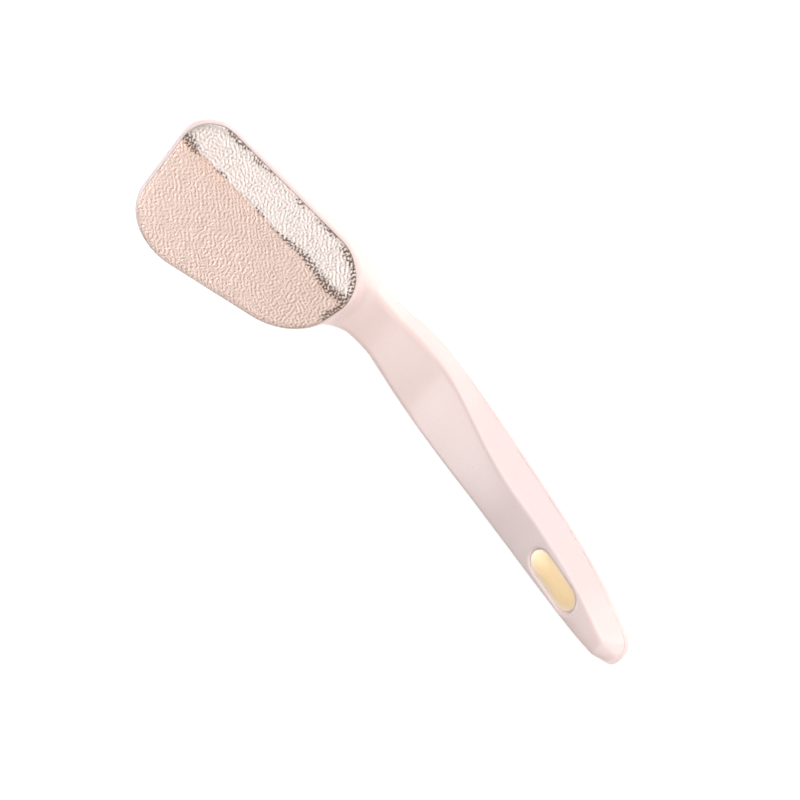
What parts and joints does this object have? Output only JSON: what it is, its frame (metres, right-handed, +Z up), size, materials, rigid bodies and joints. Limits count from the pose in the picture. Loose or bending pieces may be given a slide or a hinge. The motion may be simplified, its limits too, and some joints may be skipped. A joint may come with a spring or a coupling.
{
  "type": "foot file",
  "caption": "Hand-held foot file: egg-shaped textured steel plate with a folded side strip on an upturned moulded head, flat-topped tapering handle with an oval badge.",
  "frame": {"origin": "on the flat underside of the handle, under the middle of the overall length and width", "axes": "+X from the handle's tail to the head's far end, +Y to the left of the tool with the abrasive face up, +Z up, out of the handle's flat underside"},
  "size_m": [0.2009, 0.0563, 0.0504],
  "materials": {
    "shell_plastic": "satin moulded plastic, pinkish white, very fine grain",
    "plate_steel": "etched steel sheet with rows of small raised bumps, warm tint, satin",
    "adhesive_film": "thin double-sided adhesive film",
    "badge_gold": "pale gold satin foil, bare",
    "badge_resin": "clear gloss resin dome over the gold"
  },
  "bodies": {
    "root": {"upper_shell": "shell_plastic", "lower_shell": "shell_plastic", "plate_adhesive": "adhesive_film", "file_plate": "plate_steel", "badge_adhesive": "adhesive_film", "badge_foil": "badge_gold", "badge_dome": "badge_resin"}
  },
  "joints": []
}
